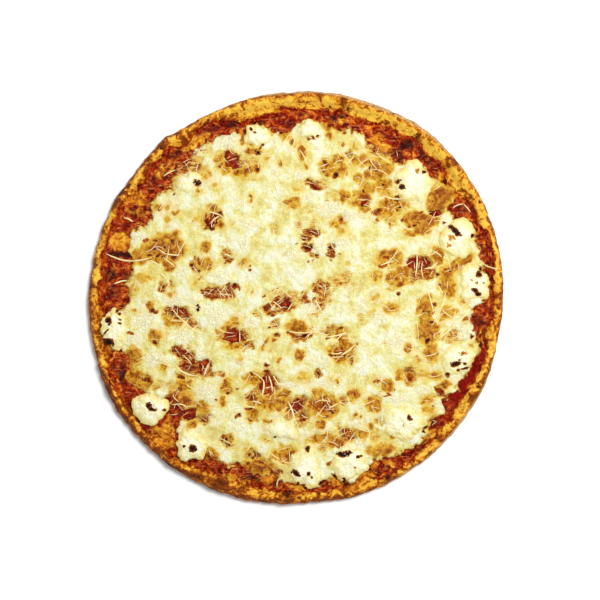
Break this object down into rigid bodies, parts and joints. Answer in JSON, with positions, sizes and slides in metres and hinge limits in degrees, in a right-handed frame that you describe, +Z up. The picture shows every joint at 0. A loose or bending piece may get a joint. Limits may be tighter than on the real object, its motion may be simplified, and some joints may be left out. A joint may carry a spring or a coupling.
{
  "type": "four cheese pizza",
  "caption": "Round thin-crust pizza, whole and uncut, with tomato sauce, melted and browned cheese, grated shreds and dollops of soft white cheese.",
  "frame": {"origin": "centre of the flat underside, at the middle of the pizza's bounding box", "axes": "+Z up out of the toppings, +Y away from the eater, +X to the right as seen from above"},
  "size_m": [0.3034, 0.3014, 0.0129],
  "materials": {
    "baked_dough": "baked golden brown, matt, with darker scorched spots",
    "tomato_sauce": "cooked tomato sauce, dark red and wet",
    "melted_cheese": "melted cheese, pale yellow with golden and brown patches, slightly oily",
    "soft_cheese": "soft white cheese, cream white with a few scorched flecks"
  },
  "bodies": {
    "root": {"crust": "baked_dough", "tomato_sauce": "tomato_sauce", "melted_cheese": "melted_cheese", "soft_cheese_01": "soft_cheese", "soft_cheese_02": "soft_cheese", "soft_cheese_03": "soft_cheese", "soft_cheese_04": "soft_cheese", "soft_cheese_05": "soft_cheese", "soft_cheese_06": "soft_cheese", "soft_cheese_07": "soft_cheese", "soft_cheese_08": "soft_cheese", "soft_cheese_09": "soft_cheese", "soft_cheese_10": "soft_cheese", "soft_cheese_11": "soft_cheese", "soft_cheese_12": "soft_cheese", "soft_cheese_13": "soft_cheese", "soft_cheese_14": "soft_cheese"}
  },
  "joints": []
}
